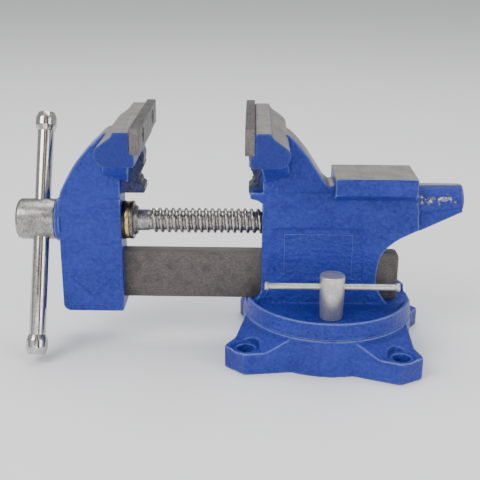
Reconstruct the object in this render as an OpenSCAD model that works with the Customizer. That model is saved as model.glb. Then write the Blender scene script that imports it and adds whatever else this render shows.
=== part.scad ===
// Bench vise with a swivel base: two cast jaws, a flat slide bar, a lead screw
// with a tommy-bar handle, an anvil with a horn, and one swivel lock.
// Millimetres, +Z up. The origin is on the swivel axis in the bench plane.
// +X runs from the handle end to the horn, so the moving jaw is on the -X side.

/* [Jaws] */
// Width of both jaws and their plates
jaw_width = 114.3; // [85:0.1:150]
// Gap between the two plates as drawn
jaw_opening = 73.3; // [40:0.1:76]
// Height of a jaw plate
plate_height = 18.4; // [15:0.1:20]
// Thickness of a jaw plate
plate_thick = 6.9; // [5:0.1:9]
// How far the plate stands above the cast head
plate_proud = 2.5; // [1:0.1:4]
// Distance of each plate screw from the middle
plate_screw_y = 32; // [20:0.5:42]
// Diameter of the plate screw thread
plate_screw_d = 6; // [4:0.1:8]
// Length of the plate screw behind the plate
plate_screw_len = 11; // [8:0.5:12]
// From the screw axis up to the plate tops
throat = 84; // [70:0.5:102]

/* [Castings] */
// Thickness of the webs below both jaws
web_thick = 29; // [26:0.5:36]
// Set-back of the necks from the webs, on each side
neck_step = 1; // [0.5:0.1:2]
// Length of the moving web along the vise
moving_web_len = 47.9; // [36:0.1:60]
// Iron left below the slide bar in the moving jaw
moving_sole = 9.4; // [7:0.1:12]
// Diameter of the boss behind the moving jaw
boss_d = 34; // [28:0.5:42]
// Height of that boss
boss_h = 3.4; // [1:0.1:6]
// From the swivel axis to the fixed plate's face
face_offset = 66; // [55:0.5:76]

/* [Pipe jaws] */
// Width of the pipe jaws
pipe_width = 18; // [12:0.5:27]
// Depth of their V
pipe_v = 5; // [3:0.1:7]
// Pitch of their teeth
pipe_pitch = 2.7; // [2:0.1:4]

/* [Anvil and horn] */
// Length of the anvil
anvil_len = 61.6; // [50:0.1:75]
// Width of the anvil
anvil_width = 44.8; // [38:0.1:56]
// Thickness of the anvil block
anvil_thick = 13; // [10:0.5:16]
// Depth of the anvil top below the plate tops
anvil_drop = 43.7; // [38:0.1:50]
// Length of the horn
horn_len = 38.3; // [25:0.5:50]
// Diameter of the horn at its root
horn_root_d = 27; // [23:0.5:29]
// Diameter of the horn at its end
horn_end_d = 21.2; // [15:0.1:22.5]
// Depth of the horn below the anvil top
horn_drop = 8.7; // [7:0.1:12]

/* [Slide bar] */
// Thickness of the slide bar
bar_thick = 12.7; // [9:0.1:16]
// Height of the slide bar
bar_height = 38.1; // [30:0.1:42]
// Length of the slide bar
bar_len = 254.8; // [230:0.1:290]
// Length of the bar held in the moving jaw
bar_socket = 40; // [30:0.5:44]
// Clearance round the bar in the fixed jaw
bar_clear = 0.25; // [0.1:0.05:0.5]
// Diameter of the two bar screws
bar_screw_d = 8; // [5:0.1:9]
// Gap between the bar and the swivel disc
bar_above_floor = 1.1; // [0.8:0.1:3]

/* [Lead screw] */
// Outer diameter of the thread
thread_d = 19.6; // [16:0.1:20]
// Pitch of the thread, five to the inch
thread_pitch = 5.08; // [4:0.01:6]
// Depth of the thread
thread_depth = 2.2; // [1.5:0.1:2.6]
// Number of thread crests
thread_turns = 24; // [20:1:27]
// Diameter of the journal in the moving jaw
journal_d = 21; // [20.6:0.1:22]
// From the top of the slide bar up to the screw axis
screw_rise = 23.8; // [20:0.1:30]
// Diameter of the screw head
head_d = 31.8; // [28:0.1:36]
// Length of the screw head
head_len = 30; // [25:0.1:36]
// Diameter of the washers and the collar
washer_d = 30; // [26:0.1:32]
// Thickness of the black spring washer
spring_washer_t = 2.5; // [1.5:0.1:4]
// Thickness of the yellow thrust washer
thrust_washer_t = 3.3; // [2:0.1:4]
// Thickness of the collar's flange
collar_t = 3; // [2:0.1:4]
// Outer diameter of the lead nut
nut_d = 24; // [22.8:0.1:25]
// Length of the lead nut
nut_len = 32; // [24:0.5:40]
// Radial clearance of the turning fits
run_clear = 0.05; // [0.02:0.01:0.1]

/* [Handle] */
// Diameter of the handle bar
handle_d = 12.7; // [9:0.1:13.5]
// Distance between the middles of the two knobs
handle_span = 174.9; // [120:0.1:180]
// How far the handle hangs through the screw head
handle_shift = 10; // [-12:0.1:12]
// Lean of the handle from upright
handle_lean = 27; // [0:0.5:60]
// Diameter of the knobs
knob_d = 16.4; // [14:0.1:20]
// Length of the knobs
knob_len = 15; // [11:0.1:18]

/* [Base] */
// Height of the base drum
base_height = 29.2; // [24:0.1:36]
// Diameter of the base drum
drum_d = 133; // [128:0.5:142]
// Diameter of the circle of the bench bolts
bolt_circle_d = 164; // [158:0.5:176]
// Diameter of the bench bolt holes
bolt_hole_d = 13.5; // [9:0.1:15]
// Diameter of the spot faces round them
spot_d = 21; // [19:0.5:24]
// Height of the two front lugs
lug_height = 17; // [13:0.1:20]
// Height of the two rear lugs
rear_lug_height = 14; // [11:0.1:18]
// Half the width of a lug at its end
lug_end_half = 10.2; // [9:0.1:13]
// Turn of the four lugs about the swivel axis
base_turn = -6.5; // [-45:0.5:45]
// Thickness of the base's top plate
top_plate = 9.4; // [7:0.1:11]

/* [Swivel] */
// Diameter of the swivel disc
disc_d = 132; // [126:0.5:138]
// Height of the disc's rim
rim_height = 13.3; // [11:0.1:18]
// Thickness of the disc inside its rim
disc_floor = 7.6; // [6:0.1:9]
// Radius at which the swivel lock sits
lock_r = 39.75; // [36:0.25:42]
// Half of the swivel's travel, in degrees
swivel_half = 120; // [60:1:125]
// Diameter of the lock stud
stud_d = 10; // [8:0.1:11]
// Diameter of the lock nut at its top
lock_top_d = 19; // [16:0.1:21]
// Diameter of the lock nut at its bottom
lock_foot_d = 17; // [15:0.1:20]
// Height of the lock nut
lock_height = 34.4; // [28:0.1:40]
// Diameter of the lock bar
lock_bar_d = 5; // [4:0.1:6]
// Length of the lock bar
lock_bar_len = 101; // [80:0.5:104]
// Gap under the disc and over the pivot washer
swivel_gap = 0.2; // [0.1:0.05:0.4]

/* [Hidden] */

eps = 0.01;
blue = "royalblue";
bright = "silver";

// heights
disc_z = base_height + swivel_gap;
floor_z = disc_z + disc_floor;
rim_z = disc_z + rim_height;
bar_z = floor_z + bar_above_floor;
bar_top = bar_z + bar_height;
screw_z = bar_top + screw_rise;
top_z = screw_z + throat;
head_z = top_z - plate_proud;
ledge_z = top_z - plate_height;
anvil_z = top_z - anvil_drop;
horn_z = anvil_z - horn_drop;

// lengths along the vise, u being the distance behind a plate's face
half_w = jaw_width / 2;
web_half = web_thick / 2;
neck_half = web_half - neck_step;
head_back = plate_thick + 25.1;
head_deep = plate_height + 9.1;
web_u = plate_thick + 6.4;
moving_u = plate_thick + 14.3;
moving_back = moving_u + moving_web_len;
anvil_u = plate_thick + 60.2;
anvil_end = anvil_u + anvil_len;
fixed_x = -face_offset;
moving_x = -face_offset - jaw_opening;
crease = 64;

// lead screw, x being measured from the moving web's inner face
boss_x = -moving_web_len - boss_h;
head_x = boss_x - 0.1;
collar_x = spring_washer_t + thrust_washer_t + 0.1;
hub_len = 3.1;
neck_x = collar_x + collar_t + hub_len;
neck_len = 9.5;
thread_x = neck_x + neck_len;
thread_len = thread_turns * thread_pitch;
seat_d = thread_d + 0.1;
neck_d = thread_d - 3;
bore_d = thread_d + 1.6;
inner_x = moving_x - moving_u;
hole_x = head_x - head_len * 0.405;

// pivot and base
spigot_d = 30;
pivot_d = 12;
washer_r = 20;
washer_h = 2.5;
spigot_z = 15;
slot_half = stud_d / 2 + 0.5;
cavity_in = 28;
cavity_out = 58;
lug_r = bolt_circle_d / 2;
lug_end = lug_r + spot_d / 2 + 1.7;
slope_u = lug_r - 5;
stud_z = floor_z + 20;
lock_bar_z = floor_z + lock_height - 9.4;

// ---- shared shapes ----------------------------------------------------------

// Side outline of a head: a short flat top, a sloping back and a round belly.
function head_pts() = [
    [plate_thick, head_z], [plate_thick + 11.5, head_z],
    [plate_thick + 12, head_z - 2.1], [plate_thick + 13.3, head_z - 3.8],
    [plate_thick + 17.3, head_z - 6.6], [plate_thick + 22.1, head_z - 10.1],
    [plate_thick + 24.3, head_z - 12.4], [head_back, head_z - 15.3],
    [head_back - 0.1, head_z - 17.7], [head_back - 1.1, head_z - 20.3],
    [head_back - 3.1, head_z - 23.1], [head_back - 5.5, top_z - head_deep + 0.5],
    [head_back - 7.5, top_z - head_deep], [5, top_z - head_deep],
    [3.8, top_z - head_deep + 1.1], [3.8, ledge_z], [plate_thick, ledge_z]
];

// Sweep of a jaw's back, from the head down to the web: distances behind the
// plate's back and below its top.
SWEEP = [[23.6, 12], [28.2, 15.3], [32.3, 19.6]];
FIXED_SWEEP = concat(SWEEP, [[36.3, 24.2], [40.3, 29.2], [44.4, 35.4], [48.5, 41.7], [52.4, 48]]);
MOVING_SWEEP = concat(SWEEP, [[36.8, 23.6], [41.7, 28.9], [46.8, 35.2], [51, 41.5],
                              [55.4, 49.5], [59.8, 58]]);
function sweep_pts(sweep) = [for (t = sweep) [plate_thick + t[0], top_z - t[1]]];

// Upright outline pushed out evenly on both sides of the middle plane.
module slab(pts, half) {
    rotate([90, 0, 0]) translate([0, 0, -half])
        linear_extrude(2 * half) polygon(pts);
}

// Round bar along +X, from x = 0.
module rod(d, len) {
    rotate([0, 90, 0]) cylinder(d = d, h = len, $fn = 96);
}

// Body of revolution about the X axis from a list of [x, radius].
module turned(pts) {
    rotate([0, 90, 0]) rotate_extrude($fn = 96)
        polygon([for (p = pts) [p[1], p[0]]]);
}

// Toothed V block of a pipe jaw, from the root side at u = back.
module pipe_jaw(back) {
    rise = 11;
    drop = 8.1;
    mid = max(top_z - head_deep - 20.3, screw_z + washer_d / 2 + drop + 5);
    tip = 2.4;
    n = floor(rise / pipe_pitch);
    m = floor(drop / pipe_pitch);
    upper = [for (i = [0 : n - 1]) let (s = i / n)
        each [[tip + 0.9 + pipe_v * s, mid + rise * (1 - s)],
              [tip + pipe_v * s, mid + rise * (1 - s) - pipe_pitch * 0.55]]];
    lower = [for (i = [m - 1 : -1 : 0]) let (s = i / m)
        each [[tip + pipe_v * s, mid - drop * (1 - s) + pipe_pitch * 0.55],
              [tip + 0.9 + pipe_v * s, mid - drop * (1 - s)]]];
    slab(concat([[back, mid + rise + 9.5], [tip + 1, mid + rise + 9.5], [tip, mid + rise + 6]],
                upper, [[tip + pipe_v + 0.6, mid]], lower,
                [[tip, mid - drop - 1], [tip + 0.8, mid - drop - 4], [back, mid - drop - 4]]),
         pipe_width / 2);
}

// Tapered shoulders that carry the wide head on the narrow neck.
module shoulders(back) {
    for (s = [-1, 1]) hull() {
        translate([0, s * (neck_half - 1.5), 0])
            slab([[plate_thick + 3, top_z - head_deep + 8], [back, top_z - 26],
                  [back, top_z - 44], [plate_thick + 8, top_z - 50]], 1);
        translate([0, s * half_w * 0.66, 0])
            slab([[plate_thick + 2, top_z - head_deep + 6],
                  [head_back - 4, top_z - 19],
                  [plate_thick + 4, top_z - head_deep + 1]], 1);
    }
}

// Head with its neck, its shoulders and the bores of the plate screws.
module jaw_head(neck_pts) {
    difference() {
        union() {
            slab(head_pts(), half_w);
            slab(neck_pts, neck_half);
            shoulders(head_back + 2);
        }
        for (s = [-1, 1]) translate([plate_thick, s * plate_screw_y, plate_mid()])
            rod(plate_screw_d, plate_screw_len);
    }
}

function plate_mid() = top_z - plate_height / 2;

// Flat plate with two countersunk holes.
module jaw_plate() {
    difference() {
        translate([0, -half_w, ledge_z]) cube([plate_thick, jaw_width, plate_height]);
        for (s = [-1, 1]) translate([0, s * plate_screw_y, plate_mid()]) {
            translate([-eps, 0, 0]) rod(plate_screw_d, plate_thick + 2 * eps);
            screw_seat();
        }
    }
}

// Space of a countersunk head, open at the plate's face.
module screw_seat() {
    turned([[-eps, 0], [-eps, plate_screw_d * 0.95], [0.8, plate_screw_d * 0.95],
            [0.8 + plate_screw_d * 0.45, plate_screw_d / 2],
            [0.8 + plate_screw_d * 0.45, 0]]);
}

// Countersunk socket screw of a jaw plate.
module plate_screw(s) {
    translate([0, s * plate_screw_y, plate_mid()]) difference() {
        turned([[0.5, 0], [0.5, plate_screw_d * 0.95], [0.8, plate_screw_d * 0.95],
                [0.8 + plate_screw_d * 0.45, plate_screw_d / 2],
                [plate_thick + plate_screw_len - 1, plate_screw_d / 2],
                [plate_thick + plate_screw_len - 1, 0]]);
        rotate([0, 90, 0]) cylinder(d = plate_screw_d * 0.7, h = 3.2, $fn = 6);
    }
}

module on_fixed() { translate([fixed_x, 0, 0]) children(); }
module on_moving() { translate([moving_x, 0, 0]) mirror([1, 0, 0]) children(); }
module on_screw() { translate([inner_x, 0, screw_z]) children(); }

// ---- base -------------------------------------------------------------------

// Outline of a front lug, pointing along +X, with its rear side towards +Y.
module lug_plan() {
    h = lug_end_half;
    polygon([[cavity_out + 1, -28.5], [lug_r - 11.5, -22],
             [lug_r - 1, -h - 5.6], [lug_end - 4, -h - 0.2], [lug_end - 2.6, -h + 1.6],
             [lug_end - 0.2, h - 1], [lug_end - 0.8, h + 1.2], [lug_end - 2.6, h + 2.4],
             [lug_r - 2, h + 7], [lug_r - 11.5, 22.5], [cavity_out + 1, 28.5]]);
}

module front_lug() {
    intersection() {
        linear_extrude(base_height) lug_plan();
        slab([[0, 0], [lug_end + 1, 0], [lug_end - 0.6, lug_height],
              [slope_u, lug_height + 0.4], [drum_d / 2 - 7, base_height - 0.5],
              [0, base_height - 0.5]], 40);
    }
}

// Broader and lower lug of the rear side, with a round nose about its hole.
module rear_lug() {
    intersection() {
        union() {
            linear_extrude(base_height)
                polygon([[cavity_out + 1, -28.4], [lug_r - 13.5, -28.6], [lug_r - 1.6, -25.2],
                         [lug_r + 0.2, -23.2], [lug_r + 0.4, 23.2], [lug_r - 1.6, 25.2],
                         [lug_r - 13.5, 28.6], [cavity_out + 1, 28.4]]);
            translate([lug_r, 0, 0]) cylinder(d = spot_d, h = base_height, $fn = 96);
        }
        slab([[0, 0], [lug_end + 1, 0], [lug_end + 1, rear_lug_height],
              [lug_r - 11, rear_lug_height + 0.3], [drum_d / 2 - 7, base_height - 0.5],
              [0, base_height - 0.5]], 40);
    }
}

// Places the four lugs; only those of one side when a side is asked for.
module at_lugs(rear = [0, 1, 2, 3]) {
    for (i = rear) rotate([0, 0, 45 + base_turn + 90 * i]) children();
}

// Arc-shaped slot of the lock stud, through the top plate.
module lock_slot() {
    sweep = 2 * (swivel_half + asin(slot_half / lock_r) + 1);
    rotate([0, 0, -90 - sweep / 2]) rotate_extrude(angle = sweep, $fn = 180)
        translate([lock_r - slot_half, base_height - top_plate - 1])
            square([2 * slot_half, top_plate + 2]);
}

module swivel_base() {
    color(blue) difference() {
        union() {
            cylinder(d = drum_d, h = base_height, $fn = 180);
            at_lugs([0, 1]) rear_lug();
            at_lugs([2]) mirror([0, 1, 0]) front_lug();
            at_lugs([3]) front_lug();
        }
        at_lugs() translate([lug_r, 0, -1])
            cylinder(d = bolt_hole_d, h = lug_height + 2, $fn = 64);
        at_lugs([0, 1]) translate([lug_r, 0, rear_lug_height - 0.8])
            cylinder(d = spot_d - 1.6, h = base_height, $fn = 96);
        at_lugs([2, 3]) translate([lug_r, 0, lug_height - 1])
            cylinder(d = spot_d, h = base_height, $fn = 96);
        difference() {
            translate([0, 0, -1])
                cylinder(r = cavity_out, h = base_height - top_plate + 1, $fn = 180);
            translate([0, 0, -2]) cylinder(r = cavity_in, h = base_height, $fn = 120);
            at_lugs() translate([cavity_in - 2, -3, 0])
                cube([cavity_out - cavity_in + 4, 6, spigot_z - 6]);
        }
        lock_slot();
        translate([0, 0, spigot_z - eps])
            cylinder(d = spigot_d + 2 * run_clear, h = base_height, $fn = 120);
        translate([0, 0, -1]) cylinder(r = washer_r + 1, h = spigot_z + 1, $fn = 96);
    }
}

// ---- fixed jaw --------------------------------------------------------------

module swivel_disc() {
    difference() {
        rotate_extrude($fn = 180)
            polygon([[0, disc_z], [disc_d / 2, disc_z], [disc_d / 2 - 0.8, rim_z],
                     [disc_d / 2 - 3, rim_z], [disc_d / 2 - 8, floor_z], [0, floor_z]]);
        for (s = [-1, 1]) translate([s * disc_d / 2 - disc_d / 8, -web_half - 0.7, floor_z])
            cube([disc_d / 4, web_thick + 1.4, rim_height]);
    }
    translate([0, 0, spigot_z - swivel_gap])
        cylinder(d = spigot_d, h = disc_z - spigot_z + swivel_gap + 1, $fn = 120);
}

// Web below the crease, from the pipe jaw to the horn and down to the disc.
module fixed_web() {
    c = top_z - crease;
    slab([[web_u - 9.3, floor_z - 1], [web_u - 9.3, floor_z], [web_u - 4.8, floor_z + 2.2],
          [web_u - 1.7, floor_z + 5.6], [web_u, floor_z + 10.5], [web_u, c - 2],
          [web_u - 3.4, c + 0.4], [web_u - 9.6, c + 1.8], [web_u - 9.6, c + 6],
          [web_u - 8, c + 7],
          [anvil_u, c + 7], [anvil_end + 2, c + 7], [anvil_end + 4, horn_z - 33.4],
          [anvil_end - 10.1, horn_z - 40.5], [anvil_end - 14.5, horn_z - 43.7],
          [anvil_end - 18.8, horn_z - 47.5], [anvil_end - 21.7, bar_top + 4.6],
          [anvil_end - 24, bar_top - 0.3], [anvil_end - 25.6, bar_top - 6.1],
          [anvil_end - 26.3, bar_top - 14.4], [anvil_end - 26.3, floor_z + 18.1],
          [anvil_end - 25.2, floor_z + 13.1], [anvil_end - 22.6, floor_z + 8.4],
          [anvil_end - 19.2, floor_z + 3], [anvil_end - 15.8, floor_z],
          [anvil_end - 15.8, floor_z - 1]], web_half);
}

// Rounded beak behind the anvil with the rib that carries it.
module horn() {
    tilt = atan((horn_root_d - horn_end_d) / 2 / horn_len);
    translate([anvil_end - 2, 0, horn_z - horn_root_d / 2]) rotate([0, -tilt, 0]) {
        rotate([0, 90, 0]) cylinder(d1 = horn_root_d, d2 = horn_end_d, h = horn_len, $fn = 96);
        turned([[horn_len - 1, 0], [horn_len - 1, horn_end_d / 2], [horn_len, horn_end_d / 2],
                [horn_len + 1.2, horn_end_d / 2 - 1.4], [horn_len + 1.6, 0]]);
    }
    slab([[anvil_end - 4, horn_z - 6], [anvil_end + horn_len - 5, horn_z - 8],
          [anvil_end + horn_len - 0.8, horn_z - horn_end_d + 1.3],
          [anvil_end + horn_len - 16.5, horn_z - 27.6], [anvil_end + 5.8, horn_z - 35.4],
          [anvil_end - 10, horn_z - 39.9]], 9);
}

module anvil() {
    foot = anvil_z - anvil_thick;
    translate([anvil_u, 0, 0]) rotate([90, 0, 90]) linear_extrude(anvil_len)
        polygon([[-anvil_width / 2, anvil_z], [anvil_width / 2, anvil_z],
                 [anvil_width / 2, foot], [web_half, foot - 5], [web_half, foot - 9],
                 [-web_half, foot - 9], [-web_half, foot - 5], [-anvil_width / 2, foot]]);
}

// Shallow blank panel on one side of the fixed web.
module panel_cut(s) {
    mid_u = (web_u + anvil_end - 26.3) / 2 - 1;
    half_l = (anvil_end - 26.3 - web_u) * 0.385;
    translate([mid_u - half_l, s * (web_half - 0.8) - (s < 0 ? 1 : 0), floor_z + 21])
        cube([2 * half_l, 1, screw_z - floor_z - 22]);
}

module fixed_jaw_body() {
    color(blue) {
        difference() {
            union() {
                swivel_disc();
                on_fixed() {
                    jaw_head(concat([[web_u, top_z - head_deep + 4]], sweep_pts(FIXED_SWEEP),
                                    [[anvil_u - 3.4, anvil_z - 8.2], [anvil_u + 1, anvil_z - 7],
                                     [anvil_u + 1, top_z - crease], [web_u, top_z - crease]]));
                    difference() {
                        pipe_jaw(web_u + 2);
                        translate([0, -half_w, top_z - head_deep + 1]) cube([web_u + 5, jaw_width, 20]);
                    }
                    fixed_web();
                    anvil();
                    horn();
                }
            }
            on_fixed() {
                translate([-20, -bar_thick / 2 - bar_clear, bar_z - bar_clear])
                    cube([anvil_end + 60, bar_thick + 2 * bar_clear, bar_height + 2 * bar_clear]);
                translate([0, 0, screw_z]) {
                    rod(bore_d, anvil_end + 0.5);
                    rod(nut_d, web_u + 0.5 + nut_len);
                }
                translate([web_u + 0.5 + nut_len / 2, 0, bar_top])
                    cylinder(d = 5, h = screw_z - bar_top, $fn = 48);
                for (s = [-1, 1]) panel_cut(s);
            }
            translate([0, 0, spigot_z - 1]) cylinder(d = pivot_d, h = floor_z - spigot_z, $fn = 64);
            translate([0, -lock_r, disc_z - 1]) cylinder(d = stud_d, h = disc_floor + 2, $fn = 64);
        }
    }
}

module fixed_jaw_plate() { color("darkgray") on_fixed() jaw_plate(); }
module fixed_plate_screw_a() { color("dimgray") on_fixed() plate_screw(-1); }
module fixed_plate_screw_b() { color("dimgray") on_fixed() plate_screw(1); }

module lead_nut() {
    color("gray") on_fixed() translate([web_u + 0.5, 0, screw_z]) difference() {
        rod(nut_d, nut_len);
        translate([-1, 0, 0]) rod(thread_d + 2 * run_clear, nut_len + 2);
        translate([nut_len / 2, 0, -nut_d])
            cylinder(d = 5, h = nut_d - thread_d / 2 - 1, $fn = 48);
    }
}

module nut_pin() {
    color("dimgray") on_fixed() translate([web_u + 0.5 + nut_len / 2, 0, bar_top + 1])
        cylinder(d = 5, h = screw_rise - thread_d / 2 - 2.2, $fn = 48);
}

module pivot_bolt() {
    color("dimgray") {
        translate([0, 0, spigot_z - swivel_gap - washer_h])
            cylinder(d = pivot_d, h = floor_z - spigot_z + washer_h - 1, $fn = 64);
        translate([0, 0, spigot_z - swivel_gap - washer_h - 7.5])
            cylinder(d = 21.9, h = 7.5, $fn = 6);
    }
}

module pivot_washer() {
    color("gray") translate([0, 0, spigot_z - swivel_gap - washer_h]) difference() {
        cylinder(r = washer_r, h = washer_h, $fn = 96);
        translate([0, 0, -1]) cylinder(d = pivot_d, h = washer_h + 2, $fn = 64);
    }
}

module lock_stud() {
    head_top = base_height - top_plate - 0.3;
    color("dimgray") translate([0, -lock_r, 0]) {
        translate([0, 0, head_top - 1]) cylinder(d = stud_d, h = stud_z - head_top + 1, $fn = 64);
        translate([-11, -8, head_top - 6]) cube([22, 16, 6]);
    }
}

// ---- swivel lock ------------------------------------------------------------

module lock_nut() {
    color("gainsboro") translate([0, -lock_r, floor_z + 0.1]) difference() {
        rotate_extrude($fn = 96)
            polygon([[0, 0], [lock_foot_d / 2 - 0.4, 0], [lock_foot_d / 2, 0.5],
                     [lock_top_d / 2, lock_height * 0.62], [lock_top_d / 2, lock_height - 1],
                     [lock_top_d / 2 - 1, lock_height], [0, lock_height]]);
        translate([0, 0, -1])
            cylinder(d = stud_d + 2 * run_clear, h = stud_z - floor_z + 1.6, $fn = 64);
        translate([-lock_top_d, 0, lock_bar_z - floor_z - 0.1])
            rod(lock_bar_d + 2 * run_clear, 2 * lock_top_d);
    }
}

module lock_bar() {
    l = lock_bar_len / 2;
    r = lock_bar_d / 2;
    color("gainsboro") translate([0, -lock_r, lock_bar_z])
        turned([[-l, 0], [-l, r], [-l + 0.7, r + 0.75], [-l + 2.6, r + 0.75], [-l + 3.6, r],
                [l - 3.6, r], [l - 2.6, r + 0.75], [l - 0.7, r + 0.75], [l, r], [l, 0]]);
}

// ---- moving jaw -------------------------------------------------------------

module moving_jaw_body() {
    bottom = bar_z - moving_sole;
    color(blue) difference() {
        union() {
            on_moving() {
                jaw_head(concat([[moving_u, top_z - head_deep + 4]], sweep_pts(MOVING_SWEEP),
                                [[moving_back - 0.4, top_z - 66], [moving_u, top_z - 66]]));
                difference() {
                    pipe_jaw(moving_u + 2);
                    translate([0, -half_w, top_z - head_deep + 1]) cube([moving_u + 5, jaw_width, 20]);
                }
                slab([[moving_u, bottom + 1], [moving_u + 1, bottom], [moving_back - 4, bottom],
                      [moving_back - 1.5, bottom + 1.5], [moving_back, bottom + 4],
                      [moving_back, top_z - 70], [moving_back - 0.4, top_z - crease],
                      [moving_u, top_z - crease]], web_half);
            }
            on_screw() translate([boss_x, 0, 0]) rod(boss_d, boss_h + 1);
            translate([inner_x - moving_web_len / 2, 0, (bar_top + bar_z) / 2])
                for (s = [-1, 1]) translate([0, s * (web_half - 0.2), 0])
                    rotate([90, 0, 0]) rotate([0, 0, 45]) cube([20, 20, 2], center = true);
        }
        on_screw() translate([boss_x - 1, 0, 0])
            rod(journal_d + 2 * run_clear, moving_web_len + boss_h + 2);
        translate([inner_x - bar_socket, -bar_thick / 2, bar_z])
            cube([bar_socket + 1, bar_thick, bar_height]);
        for (u = [0.25, 0.75]) translate([inner_x - bar_socket * u, 0, bottom - 1])
            cylinder(d = bar_screw_d, h = moving_sole + 2, $fn = 64);
    }
}

module moving_jaw_plate() { color("darkgray") on_moving() jaw_plate(); }
module moving_plate_screw_a() { color("dimgray") on_moving() plate_screw(-1); }
module moving_plate_screw_b() { color("dimgray") on_moving() plate_screw(1); }

module slide_bar() {
    color("dimgray") difference() {
        translate([inner_x - bar_socket, 0, bar_z])
            slab([[0, 0], [bar_len - 3, 0], [bar_len - 0.9, 0.9], [bar_len, 3],
                  [bar_len, bar_height - 3], [bar_len - 0.9, bar_height - 0.9],
                  [bar_len - 3, bar_height], [0, bar_height]], bar_thick / 2);
        for (u = [0.25, 0.75]) translate([inner_x - bar_socket * u, 0, bar_z - 1])
            cylinder(d = bar_screw_d, h = 7, $fn = 64);
    }
}

module bar_screw(u) {
    bottom = bar_z - moving_sole + 0.5;
    translate([inner_x - bar_socket * u, 0, bottom]) difference() {
        cylinder(d = bar_screw_d, h = bar_z + 5.5 - bottom, $fn = 64);
        translate([0, 0, -1]) cylinder(d = bar_screw_d * 0.55, h = 5, $fn = 6);
    }
}

module bar_screw_a() { color("dimgray") bar_screw(0.25); }
module bar_screw_b() { color("dimgray") bar_screw(0.75); }

module spring_washer() {
    color("black") on_screw() difference() {
        rod(washer_d, spring_washer_t);
        translate([-1, 0, 0]) rod(journal_d + 2 * run_clear, spring_washer_t + 2);
    }
}

module thrust_washer() {
    color("goldenrod") on_screw() translate([spring_washer_t, 0, 0]) difference() {
        rod(washer_d - 0.6, thrust_washer_t);
        translate([-1, 0, 0]) rod(journal_d + 2 * run_clear, thrust_washer_t + 2);
    }
}

// ---- spindle ----------------------------------------------------------------

// Saw-like rings stand for the thread: each crest has the real pitch and depth.
module lead_screw() {
    r = thread_d / 2;
    root = r - thread_depth;
    p = thread_pitch;
    crests = [for (i = [0 : thread_turns - 1]) let (x = thread_x + i * p)
        each [[x + 0.1 * p, root], [x + 0.3 * p, r], [x + 0.62 * p, r], [x + 0.82 * p, root]]];
    color(bright) on_screw() difference() {
        turned(concat(
            [[head_x - head_len, 0], [head_x - head_len, head_d / 2 - 3.2],
             [head_x - head_len + 1, head_d / 2 - 1], [head_x - head_len + 3, head_d / 2],
             [head_x - 3, head_d / 2], [head_x - 1, head_d / 2 - 1], [head_x, head_d / 2 - 3],
             [head_x, journal_d / 2], [collar_x - 0.1, journal_d / 2], [collar_x - 0.1, seat_d / 2],
             [neck_x, seat_d / 2], [neck_x, neck_d / 2], [thread_x - 1, neck_d / 2],
             [thread_x, root]],
            crests,
            [[thread_x + thread_len, root], [thread_x + thread_len + 2, root - 1.5],
             [thread_x + thread_len + 2, 0]]));
        translate([hole_x, 0, 0]) rotate([-handle_lean, 0, 0])
            cylinder(d = handle_d + 2 * run_clear, h = 2 * head_d, center = true, $fn = 64);
        translate([neck_x - hub_len / 2 - 0.6, 0, -head_d]) cylinder(d = 3, h = head_d - 7.5, $fn = 32);
    }
}

module retaining_collar() {
    color("dimgray") on_screw() difference() {
        turned([[collar_x, 0], [collar_x, washer_d / 2 - 0.5], [collar_x + 0.5, washer_d / 2],
                [collar_x + collar_t - 0.5, washer_d / 2], [collar_x + collar_t, washer_d / 2 - 0.5],
                [collar_x + collar_t, seat_d / 2 + 2.2], [neck_x - 0.4, seat_d / 2 + 0.9],
                [neck_x - 0.4, 0]]);
        translate([collar_x - 1, 0, 0]) rod(seat_d, collar_t + hub_len + 2);
        translate([neck_x - hub_len / 2 - 0.6, 0, -head_d]) cylinder(d = 3, h = head_d, $fn = 32);
    }
}

module collar_pin() {
    color("gray") on_screw() translate([neck_x - hub_len / 2 - 0.6, 0, -seat_d / 2 - 1.2])
        cylinder(d = 3, h = seat_d / 2 + 1.2 - 7.6, $fn = 32);
}

// ---- handle -----------------------------------------------------------------

// Frame of the handle: origin on the screw axis, +Z along the bar.
module on_handle() {
    on_screw() translate([hole_x, 0, 0]) rotate([-handle_lean, 0, 0])
        translate([0, 0, -handle_shift]) children();
}

module handle_knob() {
    r = knob_d / 2;
    rotate_extrude($fn = 96) polygon([
        [handle_d / 2, -knob_len / 2], [r - 1.6, -knob_len / 2], [r - 0.5, -knob_len / 2 + 1.2],
        [r, -knob_len / 2 + 3.5], [r, knob_len / 2 - 4.5], [r - 0.6, knob_len / 2 - 2],
        [r - 2.2, knob_len / 2 - 0.4], [r - 3.6, knob_len / 2], [0, knob_len / 2],
        [0, knob_len / 2 - 4], [handle_d / 2, knob_len / 2 - 4]]);
}

module handle_bar() {
    l = handle_span + knob_len - 8;
    color(bright) on_handle() translate([0, 0, -l / 2]) cylinder(d = handle_d, h = l, $fn = 96);
}

module handle_knob_top() {
    color(bright) on_handle() translate([0, 0, handle_span / 2]) handle_knob();
}

module handle_knob_bottom() {
    color(bright) on_handle() translate([0, 0, -handle_span / 2]) mirror([0, 0, 1]) handle_knob();
}

swivel_base();
fixed_jaw_body();
fixed_jaw_plate();
fixed_plate_screw_a();
fixed_plate_screw_b();
lead_nut();
nut_pin();
pivot_bolt();
pivot_washer();
lock_stud();
lock_nut();
lock_bar();
moving_jaw_body();
moving_jaw_plate();
moving_plate_screw_a();
moving_plate_screw_b();
slide_bar();
bar_screw_a();
bar_screw_b();
spring_washer();
thrust_washer();
lead_screw();
retaining_collar();
collar_pin();
handle_bar();
handle_knob_top();
handle_knob_bottom();
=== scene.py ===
import bpy
import math
from mathutils import Matrix, Vector


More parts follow.
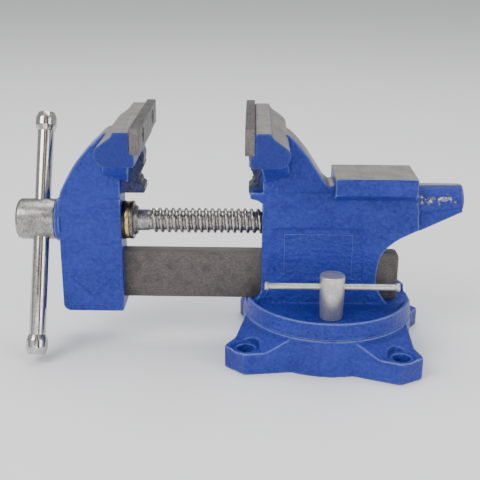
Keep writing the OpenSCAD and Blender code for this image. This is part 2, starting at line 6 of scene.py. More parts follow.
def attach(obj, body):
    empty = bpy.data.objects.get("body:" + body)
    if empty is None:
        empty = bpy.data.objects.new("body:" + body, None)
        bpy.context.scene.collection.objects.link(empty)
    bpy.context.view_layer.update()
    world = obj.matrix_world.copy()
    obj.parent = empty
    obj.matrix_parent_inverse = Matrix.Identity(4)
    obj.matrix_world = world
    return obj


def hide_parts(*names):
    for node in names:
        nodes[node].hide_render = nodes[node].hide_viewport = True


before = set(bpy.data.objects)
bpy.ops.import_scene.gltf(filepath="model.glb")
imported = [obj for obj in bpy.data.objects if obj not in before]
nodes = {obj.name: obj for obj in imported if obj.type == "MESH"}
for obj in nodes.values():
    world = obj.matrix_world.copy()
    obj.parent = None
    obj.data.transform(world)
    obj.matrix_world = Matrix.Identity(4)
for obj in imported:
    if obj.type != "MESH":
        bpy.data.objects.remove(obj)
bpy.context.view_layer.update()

# ---- Studio ------------------------------------------------------------------
# A pale bench top, a big soft key light from the upper left, weaker ones from
# the right, the front and above, and a bright room with dark doorways.

camera_data = bpy.data.cameras.new("camera")
camera_data.lens = 65.65
camera_data.clip_start, camera_data.clip_end = 0.01, 50
camera = bpy.data.objects.new("camera", camera_data)
bpy.context.scene.collection.objects.link(camera)
bpy.context.scene.camera = camera
pitch, yaw, roll = math.radians(19.49), math.radians(0.78), math.radians(0.37)
ahead = Vector((-math.sin(yaw) * math.cos(pitch), math.cos(yaw) * math.cos(pitch),
                -math.sin(pitch)))
level = Vector((math.cos(yaw), math.sin(yaw), 0))
over = level.cross(ahead)
side = level * math.cos(roll) + over * math.sin(roll)
top = over * math.cos(roll) - level * math.sin(roll)
turn = Matrix((side, top, -ahead)).transposed().to_4x4()
camera.matrix_world = Matrix.Translation((-0.06094, -0.64659, 0.31302)) @ turn

bpy.ops.mesh.primitive_plane_add(size=14, location=(0, 2, -0.0003))
bench = bpy.context.object
bench.name = "bench_top"
bench_paint = bpy.data.materials.new("pale_bench")
bench_paint.use_nodes = True
bench_shader = bench_paint.node_tree.nodes["Principled BSDF"]
bench_shader.inputs["Base Color"].default_value = (0.93, 0.93, 0.935, 1)
bench_shader.inputs["Roughness"].default_value = 0.6
bench_shader.inputs["Specular IOR Level"].default_value = 0.2
bench.data.materials.append(bench_paint)


def softbox(name, place, aim, size, power, colour=(1, 1, 1)):
    data = bpy.data.lights.new(name, "AREA")
    data.shape, data.size, data.size_y = "RECTANGLE", size[0], size[1]
    data.energy, data.color = power, colour
    lamp = bpy.data.objects.new(name, data)
    lamp.location = place
    lamp.rotation_euler = (Vector(aim) - Vector(place)).to_track_quat("-Z", "Y").to_euler()
    bpy.context.scene.collection.objects.link(lamp)


softbox("key", (-1.3, -1.0, 1.5), (-0.05, 0, 0.08), (1.1, 1.1), 26)
softbox("fill", (1.5, -1.1, 0.9), (-0.05, 0, 0.08), (0.9, 1.2), 12)
softbox("front", (-0.2, -2.0, 0.5), (-0.05, 0, 0.10), (1.6, 0.9), 8)
softbox("overhead", (0.0, 0.5, 1.9), (-0.05, 0, 0.08), (1.6, 1.2), 24)

world = bpy.data.worlds.new("room")
bpy.context.scene.world = world
world.use_nodes = True
tree = world.node_tree
tree.nodes.clear()
direction = tree.nodes.new("ShaderNodeTexCoord")
parts = tree.nodes.new("ShaderNodeSeparateXYZ")
bearing = tree.nodes.new("ShaderNodeMath")
bearing.operation = "ARCTAN2"
spread = tree.nodes.new("ShaderNodeMapRange")
spread.inputs["From Min"].default_value = -1.2
spread.inputs["From Max"].default_value = 1.2
walls = tree.nodes.new("ShaderNodeValToRGB")
room = tree.nodes.new("ShaderNodeBackground")
out = tree.nodes.new("ShaderNodeOutputWorld")
flip = tree.nodes.new("ShaderNodeMath")
flip.operation = "MULTIPLY"
flip.inputs[1].default_value = -1
tree.links.new(direction.outputs["Generated"], parts.inputs[0])
tree.links.new(parts.outputs["Y"], flip.inputs[0])
tree.links.new(parts.outputs["X"], bearing.inputs[0])
tree.links.new(flip.outputs[0], bearing.inputs[1])
tree.links.new(bearing.outputs[0], spread.inputs["Value"])
tree.links.new(spread.outputs[0], walls.inputs[0])
tree.links.new(walls.outputs[0], room.inputs["Color"])
tree.links.new(room.outputs[0], out.inputs[0])
room.inputs["Strength"].default_value = 0.9
ramp = walls.color_ramp
ramp.elements[0].position, ramp.elements[0].color = 0.0, (0.55, 0.56, 0.58, 1)
ramp.elements[1].position, ramp.elements[1].color = 1.0, (0.55, 0.56, 0.58, 1)
for at, shade in [(0.10, (1, 1, 1, 1)), (0.36, (1, 1, 1, 1)), (0.40, (0.03, 0.03, 0.04, 1)),
                  (0.47, (0.05, 0.05, 0.06, 1)), (0.50, (0.75, 0.66, 0.32, 1)),
                  (0.53, (0.80, 0.74, 0.45, 1)), (0.56, (0.95, 0.95, 0.95, 1)),
                  (0.64, (1, 1, 1, 1)), (0.68, (0.05, 0.06, 0.10, 1)),
                  (0.76, (0.10, 0.11, 0.15, 1)), (0.82, (0.9, 0.9, 0.9, 1)),
                  (0.92, (1, 1, 1, 1))]:
    stop = ramp.elements.new(at)
    stop.color = shade

# ---- Castings ----------------------------------------------------------------
# The base and both jaws are grey iron castings in glossy blue enamel. Their
# skin keeps the sand's grain, and their edges are rounded as cast.


def alone(*chosen):
    bpy.ops.object.select_all(action="DESELECT")
    for o in chosen:
        o.select_set(True)
    bpy.context.view_layer.objects.active = chosen[0]


def apply_all(o):
    alone(o)
    for m in list(o.modifiers):
        bpy.ops.object.modifier_apply(modifier=m.name)


def nodes_of(material):
    material.use_nodes = True
    n, l = material.node_tree.nodes, material.node_tree.links
    return n, l, n["Principled BSDF"]


def grain(n, l, size, stretch=(1, 1, 1), detail=3, rough=0.5):
    """Noise on Object coordinates, with size metres from grain to grain."""
    place = n.new("ShaderNodeTexCoord")
    mapping = n.new("ShaderNodeMapping")
    mapping.inputs["Scale"].default_value = stretch
    noise = n.new("ShaderNodeTexNoise")
    noise.inputs["Scale"].default_value = 1 / size
    noise.inputs["Detail"].default_value = detail
    noise.inputs["Roughness"].default_value = rough
    l.new(place.outputs["Object"], mapping.inputs[0])
    l.new(mapping.outputs[0], noise.inputs["Vector"])
    return noise.outputs["Fac"]


def between(n, l, value, low, high, to_low=0.0, to_high=1.0):
    """value mapped from low..high to to_low..to_high, and held there."""
    m = n.new("ShaderNodeMapRange")
    m.inputs["From Min"].default_value, m.inputs["From Max"].default_value = low, high
    m.inputs["To Min"].default_value, m.inputs["To Max"].default_value = to_low, to_high
    l.new(value, m.inputs["Value"])
    return m.outputs[0]


def sums(n, l, operation, a, b):
    m = n.new("ShaderNodeMath")
    m.operation = operation
    for socket, value in zip(m.inputs, (a, b)):
        if isinstance(value, (int, float)):
            socket.default_value = value
        else:
            l.new(value, socket)
    return m.outputs[0]


def tint(n, l, factor, low, high):
    m = n.new("ShaderNodeMix")
    m.data_type = "RGBA"
    if isinstance(factor, (int, float)):
        m.inputs["Factor"].default_value = factor
    else:
        l.new(factor, m.inputs["Factor"])
    for socket, value in ((m.inputs[6], low), (m.inputs[7], high)):
        if isinstance(value, tuple):
            socket.default_value = (*value, 1)
        else:
            l.new(value, socket)
    return m.outputs[2]


def relief(n, l, shader, heights):
    """Bumps stacked on one another, each (height, strength, distance in metres)."""
    last = None
    for height, strength, depth in heights:
        b = n.new("ShaderNodeBump")
        b.inputs["Strength"].default_value = strength
        b.inputs["Distance"].default_value = depth
        l.new(height, b.inputs["Height"])
        if last:
            l.new(last, b.inputs["Normal"])
        last = b.outputs[0]
    l.new(last, shader.inputs["Normal"])


def inside(n, l, place, low, high, soft=0.0006):
    """1 inside the box from low to high, in metres, and 0 outside it."""
    whole = 1.0
    for axis, a, b in zip("XYZ", low, high):
        rise = between(n, l, place.outputs[axis], a, a + soft)
        fall = between(n, l, place.outputs[axis], b, b - soft)
        whole = sums(n, l, "MULTIPLY", whole, sums(n, l, "MULTIPLY", rise, fall))
    return whole


def enamel(name, bare_from=None, teeth=None, rubbed=None):
    """Blue enamel. Faces that look up above bare_from are ground to bare iron;
    the box teeth is coloured a dark blue-grey, and the box rubbed is worn."""
    paint = bpy.data.materials.new(name)
    n, l, shader = nodes_of(paint)
    coarse, skin = grain(n, l, 0.012, detail=2), grain(n, l, 0.0027, detail=4, rough=0.6)
    fine, streak = grain(n, l, 0.0011, detail=2), grain(n, l, 0.03, (1, 1, 2.2), detail=4)
    where = n.new("ShaderNodeTexCoord")
    place, facing = n.new("ShaderNodeSeparateXYZ"), n.new("ShaderNodeSeparateXYZ")
    l.new(where.outputs["Object"], place.inputs[0])
    l.new(where.outputs["Normal"], facing.inputs[0])
    point = n.new("ShaderNodeNewGeometry").outputs["Pointiness"]
    painted_edge_highlight = between(n, l, point, 0.512, 0.56)
    painted_crease_shade = between(n, l, point, 0.493, 0.45)
    blue = tint(n, l, between(n, l, streak, 0.35, 0.65), (0.008, 0.018, 0.235),
                (0.017, 0.034, 0.33))
    blue = tint(n, l, between(n, l, skin, 0.40, 0.68, 0.0, 0.5), blue, (0.040, 0.074, 0.46))
    # Convex edges found by pointiness are lightened: a painted highlight.
    blue = tint(n, l, sums(n, l, "MULTIPLY", painted_edge_highlight, 0.7), blue, (0.24, 0.32, 0.72))
    # Concave creases found by pointiness are darkened: painted shade.
    blue = tint(n, l, sums(n, l, "MULTIPLY", painted_crease_shade, 0.75), blue, (0.003, 0.010, 0.09))
    # The end faces of the jaw heads, beyond |Y| 56.2 mm and above Z 140 mm, are darkened: painted shade.
    end = between(n, l, sums(n, l, "ABSOLUTE", place.outputs["Y"], 0), 0.0562, 0.0568)
    end = sums(n, l, "MULTIPLY", end, between(n, l, place.outputs["Z"], 0.140, 0.141))
    blue = tint(n, l, sums(n, l, "MULTIPLY", end, 0.75), blue, (0.006, 0.018, 0.20))
    shader.inputs["Coat Weight"].default_value = 0.08
    shader.inputs["Coat Roughness"].default_value = 0.15
    shader.inputs["Specular IOR Level"].default_value = 0.3
    heights = [(coarse, 0.6, 0.0016), (skin, 1.0, 0.0022), (fine, 1.0, 0.0008)]
    if bare_from is None:
        l.new(blue, shader.inputs["Base Color"])
        l.new(between(n, l, skin, 0.3, 0.7, 0.28, 0.44), shader.inputs["Roughness"])
        relief(n, l, shader, heights)
        return paint
    up = between(n, l, facing.outputs["Z"], 0.40, 0.50)
    flank = sums(n, l, "ABSOLUTE", facing.outputs["Y"], 0)
    square = between(n, l, flank, 0.38, 0.25)
    high = between(n, l, place.outputs["Z"], bare_from, bare_from + 0.0006)
    ground = sums(n, l, "MULTIPLY", sums(n, l, "MULTIPLY", up, square), high)
    brush = grain(n, l, 0.0009, (1, 0.02, 1), detail=2)
    patch = grain(n, l, 0.014, detail=4)
    if rubbed:
        flecks = between(n, l, grain(n, l, 0.0042, detail=4, rough=0.7), 0.50, 0.60)
        worn = sums(n, l, "MULTIPLY", inside(n, l, place, *rubbed, soft=0.003), flecks)
        ground = sums(n, l, "MAXIMUM", ground, worn)
    if teeth:
        ground = sums(n, l, "MULTIPLY", ground,
                      sums(n, l, "SUBTRACT", 1.0, inside(n, l, place, *teeth)))
        dark = tint(n, l, between(n, l, skin, 0.35, 0.65), (0.010, 0.012, 0.022),
                    (0.048, 0.054, 0.092))
        blue = tint(n, l, inside(n, l, place, *teeth), blue, dark)
    iron = tint(n, l, between(n, l, brush, 0.3, 0.7), (0.31, 0.295, 0.28), (0.47, 0.45, 0.43))
    iron = tint(n, l, between(n, l, patch, 0.40, 0.75), iron, (0.27, 0.255, 0.245))
    if rubbed:
        iron = tint(n, l, worn, iron, (0.74, 0.72, 0.70))
    l.new(tint(n, l, ground, blue, iron), shader.inputs["Base Color"])
    l.new(sums(n, l, "MULTIPLY", ground, 0.85), shader.inputs["Metallic"])
    rough = tint(n, l, ground, (0.36, 0.36, 0.36), (0.45, 0.45, 0.45))
    l.new(rough, shader.inputs["Roughness"])
    painted = sums(n, l, "SUBTRACT", 1.0, ground)
    heights = [(sums(n, l, "MULTIPLY", h, painted), a, b) for h, a, b in heights]
    relief(n, l, shader, heights + [(sums(n, l, "MULTIPLY", brush, ground), 0.15, 0.0001)])
    return paint


def casting(name, node, body, paint, voxel=0.0008, rounds=2, keep=0.28):
    """The node's shape as it comes out of the sand: blended and rounded all over."""
    piece = bpy.data.objects.new(name, nodes[node].data.copy())
    bpy.context.scene.collection.objects.link(piece)
    alone(piece)
    bpy.ops.object.mode_set(mode="EDIT")
    bpy.ops.mesh.select_all(action="SELECT")
    bpy.ops.mesh.remove_doubles(threshold=1e-6)
    bpy.ops.object.mode_set(mode="OBJECT")
    sand = piece.modifiers.new("sand", "REMESH")
    sand.mode, sand.voxel_size, sand.use_smooth_shade = "VOXEL", voxel, True
    soft = piece.modifiers.new("soft", "SMOOTH")
    soft.factor, soft.iterations = 0.5, rounds
    thin = piece.modifiers.new("thin", "DECIMATE")
    thin.ratio = keep
    apply_all(piece)
    bpy.ops.object.shade_smooth()
    piece.data.materials.clear()
    piece.data.materials.append(paint)
    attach(piece, body)
    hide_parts(node)
    return piece


base_paint = enamel("blue_enamel_base")
fixed_paint = enamel("blue_enamel_fixed_jaw", 0.1305,
                     teeth=((-0.0720, -0.0095, 0.1236), (-0.0535, 0.0095, 0.1566)),
                     rubbed=((0.0622, -0.0160, 0.1170), (0.0960, -0.0060, 0.1265)))
moving_paint = enamel("blue_enamel_moving_jaw", 0.1255,
                      teeth=((-0.1600, -0.0095, 0.1236), (-0.1300, 0.0095, 0.1566)))
casting("base_casting", "swivel_base", "base", base_paint)
casting("fixed_jaw_casting", "fixed_jaw_body", "fixed_jaw", fixed_paint)
casting("moving_jaw_casting", "moving_jaw_body", "moving_jaw", moving_paint)

# ---- Slide bar ---------------------------------------------------------------
# A length of hot-rolled flat bar, matte and dark with mill scale, its free end
# rounded off. It is screwed into the moving jaw and slides in the fixed one.


def steel(name, dark, light, rough, size=0.0012, stretch=(1, 1, 1), depth=0.0001, metal=1.0,
          stain=None, bump=0.3):
    """Metal with grain of that size, stretched along the tool's marks, and broad stains."""
    coat = bpy.data.materials.new(name)
    n, l, shader = nodes_of(coat)
    marks = grain(n, l, size, stretch, detail=3)
    broad = grain(n, l, 0.009, detail=5, rough=0.6)
    colour = tint(n, l, between(n, l, marks, 0.33, 0.67), dark, light)
    colour = tint(n, l, between(n, l, broad, 0.48, 0.75, 0.0, 0.8), colour,
                  stain or tuple(0.55 * c for c in dark))
    l.new(colour, shader.inputs["Base Color"])
    l.new(between(n, l, broad, 0.3, 0.7, rough - 0.05, rough + 0.08), shader.inputs["Roughness"])
    shader.inputs["Metallic"].default_value = metal
    relief(n, l, shader, [(marks, bump, depth)])
    return coat


def settle(piece, body, node, coat, angle=35):
    piece.data.materials.clear()
    piece.data.materials.append(coat)
    alone(piece)
    bpy.ops.object.shade_smooth_by_angle(angle=math.radians(angle))
    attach(piece, body)
    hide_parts(node)


def block(name, low, high):
    """A box between two corners in millimetres, ready to be shaped."""
    bpy.ops.object.select_all(action="DESELECT")
    middle = [(a + b) / 2000 for a, b in zip(low, high)]
    size = [(b - a) / 1000 for a, b in zip(low, high)]
    bpy.ops.mesh.primitive_cube_add(size=1, location=middle, scale=size)
    bpy.ops.object.transform_apply(location=True, rotation=True, scale=True)
    piece = bpy.context.object
    piece.name = name
    return piece


def pick_edges(piece, test):
    """Selects in edit mode the edges whose two ends both pass the test."""
    bpy.ops.object.mode_set(mode="EDIT")
    bpy.ops.mesh.select_mode(type="EDGE")
    bpy.ops.mesh.select_all(action="DESELECT")
    bpy.ops.object.mode_set(mode="OBJECT")
    for e in piece.data.edges:
        e.select = all(test(piece.data.vertices[v].co * 1000) for v in e.vertices)
    bpy.ops.object.mode_set(mode="EDIT")


def cut(piece, *cutters):
    for cutter in cutters:
        hole = piece.modifiers.new("hole", "BOOLEAN")
        hole.operation, hole.object, hole.solver = "DIFFERENCE", cutter, "EXACT"
        apply_all(piece)
        alone(cutter)
        bpy.ops.object.delete()
    alone(piece)


def soften(piece, width, angle=40):
    edges = piece.modifiers.new("edges", "BEVEL")
    edges.width, edges.segments = width / 1000, 2
    edges.limit_method, edges.angle_limit = "ANGLE", math.radians(angle)
    apply_all(piece)


bar = block("slide_bar_steel", (-200.5, -6.35, 38.1), (54.3, 6.35, 76.2))
for z in (38.1, 76.2):
    pick_edges(bar, lambda v: v.x > 54 and abs(v.z - z) < 0.1)
    bpy.ops.mesh.bevel(offset=0.0035, segments=6)
    bpy.ops.object.mode_set(mode="OBJECT")
soften(bar, 0.7, 60)
screw_holes = (-170.5, -190.5)
for x in screw_holes:
    bpy.ops.mesh.primitive_cylinder_add(vertices=48, radius=0.004, depth=0.007,
                                        location=(x / 1000, 0, 0.0406))
    cut(bar, bpy.context.object)
scale = steel("mill_scale", (0.070, 0.060, 0.057), (0.125, 0.110, 0.104), 0.52, 0.0011,
              (0.6, 1, 1), 0.00025, metal=0.35, stain=(0.050, 0.043, 0.041), bump=0.6)
n, l = scale.node_tree.nodes, scale.node_tree.links
shader = n["Principled BSDF"]
turned = n.new("ShaderNodeSeparateXYZ")
l.new(n.new("ShaderNodeTexCoord").outputs["Normal"], turned.inputs[0])
# Faces that look up are painted lighter, in streaks along the bar: a painted highlight on the top face.
painted_top_highlight = sums(n, l, "MULTIPLY", between(n, l, turned.outputs["Z"], 0.8, 0.95),
            between(n, l, grain(n, l, 0.006, (0.1, 1, 1), detail=4), 0.30, 0.55, 0.5, 1.0))
scaled = shader.inputs["Base Color"].links[0].from_socket
l.new(tint(n, l, painted_top_highlight, scaled, (0.20, 0.19, 0.185)), shader.inputs["Base Color"])
settle(bar, "moving_jaw", "slide_bar", scale)

# ---- Panel bead --------------------------------------------------------------
# A raised bead cast in the sunk panel on the near side of the fixed jaw, as a
# frame around a plain field, under the same enamel.
bead = block("fixed_jaw_panel_bead", (-35.5, -14.3, 57.6), (16.8, -13.0, 94.0))
bpy.ops.object.mode_set(mode="EDIT")
bpy.ops.mesh.select_mode(type="FACE")
bpy.ops.mesh.select_all(action="DESELECT")
bpy.ops.object.mode_set(mode="OBJECT")
for f in bead.data.polygons:
    f.select = f.normal.y < -0.9
bpy.ops.object.mode_set(mode="EDIT")
bpy.ops.mesh.inset(thickness=0.0013)
bpy.ops.transform.translate(value=(0, 0.0009, 0))
bpy.ops.object.mode_set(mode="OBJECT")
soften(bead, 0.3)
bead.data.materials.append(fixed_paint)
alone(bead)
bpy.ops.object.shade_smooth_by_angle(angle=math.radians(35))
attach(bead, "fixed_jaw")

# ---- Lead screw --------------------------------------------------------------
# A turned steel spindle: a big head that takes the handle, a journal in the
# moving jaw, a neck, and a rolled thread of five turns to the inch.


def softened(outline, closed):
    """The outline, (along, radius, fillet) in millimetres, with its corners rounded."""
    points = []
    for i, (x, r, *fillet) in enumerate(outline):
        if not fillet or (not closed and i in (0, len(outline) - 1)):
            points.append((x, r))
            continue
        corner, f = Vector((x, r)), fillet[0]
        before = (Vector(outline[i - 1][:2]) - corner).normalized()
        after = (Vector(outline[(i + 1) % len(outline)][:2]) - corner).normalized()
        half = before.angle(after) / 2
        centre = corner + (before + after).normalized() * f / math.sin(half)
        start, end = (corner + d * f / math.tan(half) - centre for d in (before, after))
        first = math.atan2(start.y, start.x)
        sweep = (math.atan2(end.y, end.x) - first + math.pi) % (2 * math.pi) - math.pi
        points += [(centre.x + f * math.cos(first + sweep * k / 6),
                    centre.y + f * math.sin(first + sweep * k / 6)) for k in range(7)]
    return points


def drawn(name, points):
    """An outline drawn by extruding one vertex from point to point, in the XZ plane."""
    bpy.ops.object.select_all(action="DESELECT")
    bpy.ops.mesh.primitive_plane_add(size=0.001, location=(0, 0, 0))
    piece = bpy.context.object
    piece.name = name
    bpy.ops.object.mode_set(mode="EDIT")
    bpy.ops.mesh.select_mode(type="VERT")
    bpy.ops.mesh.select_all(action="SELECT")
    bpy.ops.mesh.merge(type="CENTER")
    bpy.ops.transform.translate(value=(points[0][0] / 1000, 0, points[0][1] / 1000))
    for a, b in zip(points, points[1:]):
        step = ((b[0] - a[0]) / 1000, 0, (b[1] - a[1]) / 1000)
        bpy.ops.mesh.extrude_vertices_move(TRANSFORM_OT_translate={"value": step})
    bpy.ops.object.mode_set(mode="OBJECT")
    return piece


def tidy(piece):
    alone(piece)
    bpy.ops.object.mode_set(mode="EDIT")
    bpy.ops.mesh.select_all(action="SELECT")
    bpy.ops.mesh.remove_doubles(threshold=1e-7)
    bpy.ops.mesh.normals_make_consistent(inside=False)
    bpy.ops.object.mode_set(mode="OBJECT")


def put(piece, at, towards):
    alone(piece)
    turn = Vector(towards).to_track_quat("X", "Z").to_matrix().to_4x4()
    piece.matrix_world = Matrix.Translation(Vector(at) / 1000) @ turn
    bpy.ops.object.transform_apply(location=True, rotation=True, scale=True)


def lathe(name, outline, at=(0, 0, 0), towards=(1, 0, 0), closed=False, steps=96):
    """The outline turned about its own X axis, which then points along towards."""
    points = softened(outline, closed)
    piece = drawn(name, points + points[:1] if closed else points)
    tidy(piece)
    turn = piece.modifiers.new("turn", "SCREW")
    turn.axis, turn.steps, turn.render_steps = "X", steps, steps
    turn.use_merge_vertices, turn.merge_threshold = True, 1e-6
    apply_all(piece)
    tidy(piece)
    put(piece, at, towards)
    return piece


screw_axis = (0, 0, 100)
handle_hole = Vector((-224.05, 0, 100))
lean = Vector((0, 0.45399, 0.89101))
spindle = lathe("lead_screw_turned", [
    (-241.9, 0), (-241.9, 15.9, 3.2), (-211.9, 15.9, 1.2), (-211.9, 10.5), (-154.7, 10.5),
    (-154.7, 9.85), (-148.5, 9.85, 0.3), (-148.5, 8.3), (-140.2, 8.3, 0.6), (-139.2, 7.6),
    (-17.1, 7.6), (-15.1, 6.1, 0.3), (-15.1, 0)], at=screw_axis)
eye = lathe("eye", [(-40, 0), (-40, 6.4), (40, 6.4), (40, 0)],
            at=handle_hole, towards=lean, steps=64)
cut(spindle, eye)
turned_steel = steel("turned_steel", (0.20, 0.195, 0.19), (0.46, 0.45, 0.44), 0.30, 0.0010,
                     (1, 0.5, 0.5), 0.00012, stain=(0.11, 0.105, 0.10), bump=0.35)
settle(spindle, "spindle", "lead_screw", turned_steel, 30)

pitch_mm, turns = 5.08, 24
ridge = drawn("lead_screw_thread", [
    (-139.0, 7.0), (-139.0, 7.6), (-138.3, 8.6), (-137.8, 9.55), (-137.4, 9.8), (-136.5, 9.8),
    (-136.1, 9.55), (-135.5, 8.6), (-134.9, 7.6), (-134.9, 7.0), (-139.0, 7.0)])
tidy(ridge)
coil = ridge.modifiers.new("coil", "SCREW")
coil.axis, coil.steps, coil.render_steps = "X", 40, 40
coil.screw_offset, coil.iterations = pitch_mm / 1000, turns - 1
apply_all(ridge)
bpy.ops.object.mode_set(mode="EDIT")
bpy.ops.mesh.select_mode(type="EDGE")
bpy.ops.mesh.select_all(action="DESELECT")
bpy.ops.mesh.select_non_manifold()
bpy.ops.mesh.fill()
bpy.ops.object.mode_set(mode="OBJECT")
tidy(ridge)
put(ridge, screw_axis, (1, 0, 0))
rolled = steel("rolled_thread", (0.22, 0.21, 0.20), (0.62, 0.60, 0.57), 0.24, 0.0012,
               (1, 0.4, 0.4), 0.00012, stain=(0.16, 0.14, 0.115), bump=0.4)
settle(ridge, "spindle", "lead_screw", rolled, 40)

# ---- Washers and collar ------------------------------------------------------
# A blackened spring washer and a yellow-passivated thrust washer take the
# pull of the screw; a steel collar is pinned to the spindle behind them.
spring = lathe("spring_washer_black", [(-160.5, 10.6, 0.3), (-160.5, 15, 0.7), (-158, 15, 0.7),
                                       (-158, 10.6, 0.3)], at=screw_axis, closed=True)
black = steel("black_oxide", (0.012, 0.012, 0.013), (0.040, 0.038, 0.037), 0.40, 0.0012,
              metal=0.7, stain=(0.09, 0.085, 0.08))
settle(spring, "moving_jaw", "spring_washer", black)
thrust = lathe("thrust_washer_yellow", [(-158, 10.6, 0.3), (-158, 14.7, 0.9), (-154.7, 14.7, 0.9),
                                        (-154.7, 10.6, 0.3)], at=screw_axis, closed=True)
yellow = steel("yellow_passivation", (0.50, 0.33, 0.10), (0.80, 0.60, 0.24), 0.27, 0.0016,
               (1, 0.4, 0.4), stain=(0.24, 0.13, 0.04))
settle(thrust, "moving_jaw", "thrust_washer", yellow)
collar = lathe("retaining_collar_turned", [
    (-154.6, 9.86), (-154.6, 15, 0.6), (-151.6, 15, 1.0), (-151.6, 12.1, 0.8), (-148.9, 10.8, 0.4),
    (-148.9, 9.86)], at=screw_axis, closed=True)
bpy.ops.mesh.primitive_cylinder_add(vertices=32, radius=0.0015, depth=0.012,
                                    location=(-0.15065, 0, 0.086))
cut(collar, bpy.context.object)
dark_turned = steel("dark_turned_steel", (0.085, 0.080, 0.078), (0.30, 0.29, 0.275), 0.33, 0.0010,
                    (1, 0.5, 0.5), stain=(0.05, 0.045, 0.04))
settle(collar, "spindle", "retaining_collar", dark_turned)

# ---- Handle ------------------------------------------------------------------
# A plated round bar that slides through the screw head, with a barrel-shaped
# knob pressed onto each end.
plating = steel("bright_plating", (0.42, 0.41, 0.39), (0.60, 0.59, 0.56), 0.12, 0.0020,
                (1, 1, 1), 0.00003, stain=(0.40, 0.38, 0.33), bump=0.2)
handle_middle = handle_hole - 10 * lean
rod = lathe("handle_rod", [(-90.95, 0), (-90.95, 6.35, 0.8), (90.95, 6.35, 0.8), (90.95, 0)],
            at=handle_middle, towards=lean)
settle(rod, "handle", "handle_bar", plating)
for name, way in (("handle_knob_top", 1), ("handle_knob_bottom", -1)):
    knob = lathe(name + "_barrel", [
        (3.5, 0), (3.5, 6.38), (-7.5, 6.38), (-7.5, 6.9, 0.3), (-3.4, 8.3, 4), (2.6, 8.3, 5),
        (7.5, 6.4, 1.0), (7.5, 0)], at=handle_middle + way * 87.45 * lean, towards=way * lean)
    settle(knob, "handle", name, plating)

# ---- Swivel lock -------------------------------------------------------------
# A nickel-plated barrel nut on a stud that clamps the disc to the base, turned
# by a thin bar with upset ends that slides through it.
nickel = steel("satin_nickel", (0.50, 0.49, 0.46), (0.68, 0.67, 0.63), 0.32, 0.0010,
               (0.5, 0.5, 1), 0.00004, metal=0.8, stain=(0.36, 0.35, 0.32), bump=0.15)
lock_y, lock_foot, lock_bar_height = -39.75, 37.1, 62.0
barrel = lathe("lock_nut_barrel", [
    (20.5, 0), (20.5, 5.05), (0, 5.05), (0, 8.5, 0.5), (21.3, 9.5, 3), (34.4, 9.5, 1.1),
    (34.4, 0)], at=(0, lock_y, lock_foot), towards=(0, 0, 1))
eye = lathe("eye", [(-20, 0), (-20, 2.55), (20, 2.55), (20, 0)], at=(0, lock_y, lock_bar_height), steps=48)
cut(barrel, eye)
settle(barrel, "lock", "lock_nut", nickel)
tommy = lathe("lock_tommy_bar", [
    (-50.5, 0), (-50.5, 3.25, 0.6), (-47.9, 3.25, 0.5), (-46.9, 2.5, 0.5), (46.9, 2.5, 0.5),
    (47.9, 3.25, 0.5), (50.5, 3.25, 0.6), (50.5, 0)], at=(0, lock_y, lock_bar_height), steps=64)
settle(tommy, "lock_tommy", "lock_bar", nickel)

# ---- Jaw plates --------------------------------------------------------------
# Two ground steel plates with a crossed serration milled in the faces that
# meet. Each is held by two countersunk socket screws.


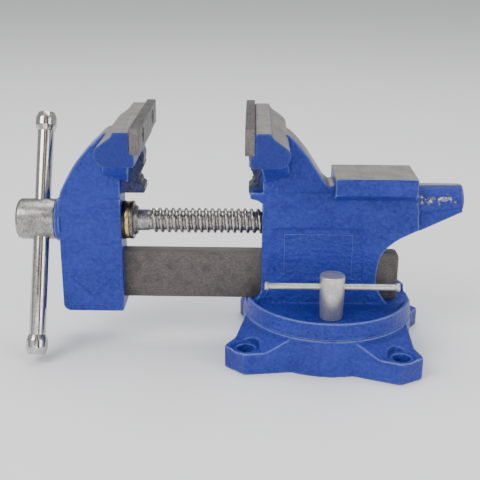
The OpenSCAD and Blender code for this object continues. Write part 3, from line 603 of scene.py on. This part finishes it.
def plate_steel(name):
    coat = steel(name, (0.125, 0.113, 0.112), (0.21, 0.195, 0.193), 0.42, 0.0010, (1, 0.05, 1),
                 stain=(0.10, 0.092, 0.09))
    n, l = coat.node_tree.nodes, coat.node_tree.links
    shader = n["Principled BSDF"]
    where, parts = n.new("ShaderNodeTexCoord"), n.new("ShaderNodeSeparateXYZ")
    l.new(where.outputs["Object"], parts.inputs[0])
    cross = 0.0
    for way in (1, -1):
        run = sums(n, l, "ADD", parts.outputs["Z"], sums(n, l, "MULTIPLY", parts.outputs["Y"], way))
        wave = sums(n, l, "PINGPONG", run, 0.0011)
        cross = sums(n, l, "ADD", cross, sums(n, l, "MULTIPLY", wave, 400))
    turned = n.new("ShaderNodeSeparateXYZ")
    l.new(where.outputs["Normal"], turned.inputs[0])
    face = between(n, l, sums(n, l, "ABSOLUTE", turned.outputs["X"], 0), 0.85, 0.95)
    b = n.new("ShaderNodeBump")
    b.inputs["Strength"].default_value = 0.8
    b.inputs["Distance"].default_value = 0.0006
    l.new(sums(n, l, "MULTIPLY", cross, face), b.inputs["Height"])
    l.new(shader.inputs["Normal"].links[0].from_socket, b.inputs["Normal"])
    l.new(b.outputs[0], shader.inputs["Normal"])
    return coat


half_width, plate_thickness, ledge, plate_top = 57.15, 6.9, 165.6, 184
for jaw, near, way in (("fixed_jaw", -66, 1), ("moving_jaw", -139.3, -1)):
    back = near + way * plate_thickness
    plate = block(jaw + "_plate_steel", (min(near, back), -half_width, ledge),
                  (max(near, back), half_width, plate_top))
    soften(plate, 0.5)
    for y in (-32, 32):
        seat = lathe("seat", [(-2, 0), (-2, 5.7), (0.8, 5.7), (3.5, 3), (9, 3), (9, 0)],
                     at=(near, y, 174.8), towards=(way, 0, 0), steps=64)
        cut(plate, seat)
    settle(plate, jaw, jaw + "_plate", plate_steel(jaw + "_plate_ground"))

# ---- Screws, pins and pivot --------------------------------------------------
# The small steel parts: blackened socket screws and pivot bolt, zinc-plated
# stud and washer, ground pins, and a plain cast-iron nut for the lead screw.
stud_zinc = steel("dull_zinc", (0.24, 0.235, 0.225), (0.40, 0.39, 0.37), 0.42, 0.0011,
                  (1, 1, 0.4), stain=(0.16, 0.15, 0.14))
ground_pin = steel("ground_pin", (0.42, 0.41, 0.39), (0.60, 0.585, 0.56), 0.30, 0.0009,
                   (1, 1, 0.3), stain=(0.28, 0.26, 0.24))
nut_iron = steel("nut_iron", (0.10, 0.098, 0.095), (0.20, 0.195, 0.188), 0.50, 0.0018,
                 (1, 0.6, 0.6), 0.0002, metal=0.8)
for coat, named in (
        (black, ("fixed_plate_screw_a", "fixed_plate_screw_b", "moving_plate_screw_a",
                 "moving_plate_screw_b", "bar_screw_a", "bar_screw_b", "pivot_bolt")),
        (stud_zinc, ("lock_stud", "pivot_washer")),
        (ground_pin, ("nut_pin", "collar_pin")), (nut_iron, ("lead_nut",))):
    for name in named:
        nodes[name].data.materials.clear()
        nodes[name].data.materials.append(coat)
